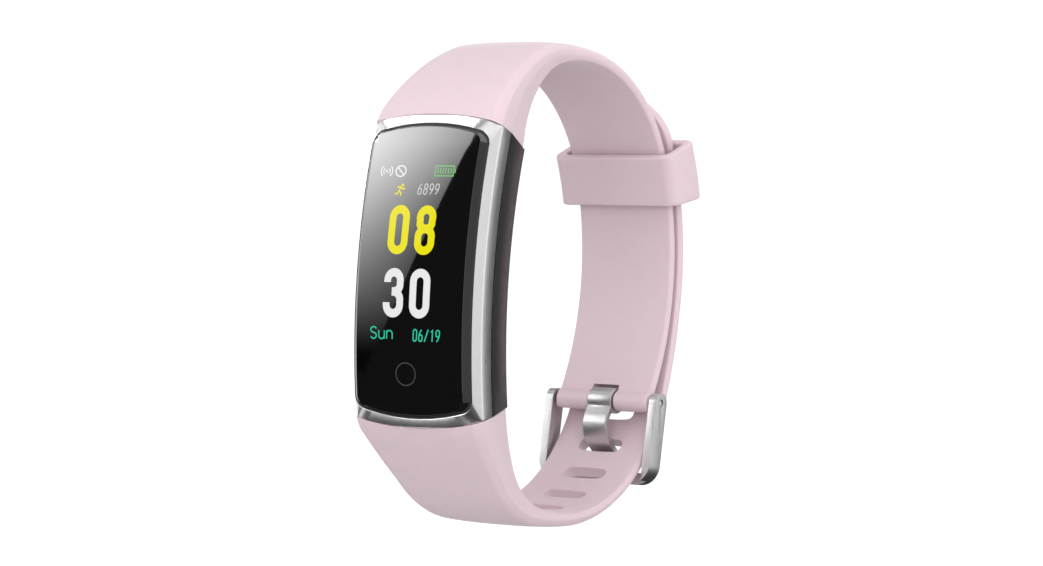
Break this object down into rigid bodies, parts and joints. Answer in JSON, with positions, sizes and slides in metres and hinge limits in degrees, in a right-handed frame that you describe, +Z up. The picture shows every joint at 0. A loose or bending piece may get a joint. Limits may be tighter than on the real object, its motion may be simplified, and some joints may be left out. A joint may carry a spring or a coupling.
{
  "type": "fitness tracker band",
  "caption": "Wrist-worn activity tracker with a slim curved display case, soft two-piece strap, tang buckle on a spring bar and a sliding keeper.",
  "frame": {"origin": "centre of the wrist opening, midway across the strap", "axes": "+Z up along the display, display faces -Y, +X across the strap"},
  "size_m": [0.0192, 0.0494, 0.0608],
  "materials": {
    "clear_lens": "polished, black-printed lens",
    "satin_silver": "satin silver",
    "black_case": "fine matt",
    "black_rubber": "soft seal",
    "pink_silicone": "silky matt silicone",
    "satin_steel": "satin stainless steel",
    "screw_steel": "bright steel",
    "sensor_glass": "dark tinted, gloss",
    "circuit_board": "solder mask",
    "chip_black": "moulded epoxy",
    "ceramic_white": "fired ceramic",
    "led_green": "clear epoxy",
    "display_glass": "black glass",
    "tray_white": "moulded light tray",
    "flex_film": "amber film",
    "battery_foil": "foil pouch",
    "adhesive_film": "foam film",
    "wire_red": "insulated wire",
    "gold_pad": "gold plated",
    "motor_steel": "drawn can",
    "tungsten": "sintered weight"
  },
  "bodies": {
    "tracker": {"cover_glass": "clear_lens", "lens_adhesive": "adhesive_film", "bezel": "satin_silver", "case_gasket": "black_rubber", "case_body": "black_case", "back_cover": "black_case", "case_screws": "screw_steel", "sensor_window": "sensor_glass", "display_panel": "display_glass", "display_backlight": "tray_white", "touch_electrode": "flex_film", "display_flex": "flex_film", "main_board": "circuit_board", "processor_chip": "chip_black", "accelerometer_chip": "chip_black", "bluetooth_antenna": "ceramic_white", "touch_chip": "chip_black", "battery": "battery_foil", "battery_tape": "adhesive_film", "battery_leads": "wire_red", "motor_can": "motor_steel", "motor_shaft": "screw_steel", "sensor_board": "circuit_board", "sensor_leds": "led_green", "photodiode": "display_glass", "sensor_baffle": "chip_black", "charging_blade": "circuit_board", "charging_contacts": "gold_pad", "upper_strap": "pink_silicone", "lower_strap": "pink_silicone", "spring_bar_tube": "screw_steel", "spring_bar_spring": "screw_steel"},
    "motor_rotor": {"motor_rotor": "tungsten"},
    "tip_left": {"spring_bar_tip_left": "screw_steel"},
    "tip_right": {"spring_bar_tip_right": "screw_steel"},
    "frame": {"buckle_frame": "satin_steel"},
    "prong": {"buckle_prong": "satin_steel"},
    "keeper": {"keeper_loop": "pink_silicone"}
  },
  "joints": [
    {"name": "buckle_frame_hinge", "type": "hinge", "parent": "tracker", "child": "frame", "pos_m": [0, 0.01426, -0.01379], "axis": [1, 0, 0], "range_deg": [0, 100]},
    {"name": "prong_hinge", "type": "hinge", "parent": "tracker", "child": "prong", "pos_m": [0, 0.01426, -0.01379], "axis": [1, 0, 0], "range_deg": [-4, 6]},
    {"name": "keeper_slide", "type": "hinge", "parent": "tracker", "child": "keeper", "pos_m": [0, -0.02023, 0.00193], "axis": [1, 0, 0], "range_deg": [-25, 2]},
    {"name": "left_tip_slide", "type": "slide", "parent": "tracker", "child": "tip_left", "axis": [1, 0, 0], "range_m": [0, 0.0011], "stiffness_N_per_m": 60, "springref_m": -0.0005, "deforming": ["spring_bar_spring"]},
    {"name": "right_tip_slide", "type": "slide", "parent": "tracker", "child": "tip_right", "axis": [-1, 0, 0], "range_m": [0, 0.0011], "stiffness_N_per_m": 60, "springref_m": -0.0005, "deforming": ["spring_bar_spring"]},
    {"name": "vibration_spin", "type": "hinge", "parent": "tracker", "child": "motor_rotor", "pos_m": [0, -0.02135, 0.0114], "axis": [0, 1, 0], "continuous": true}
  ]
}
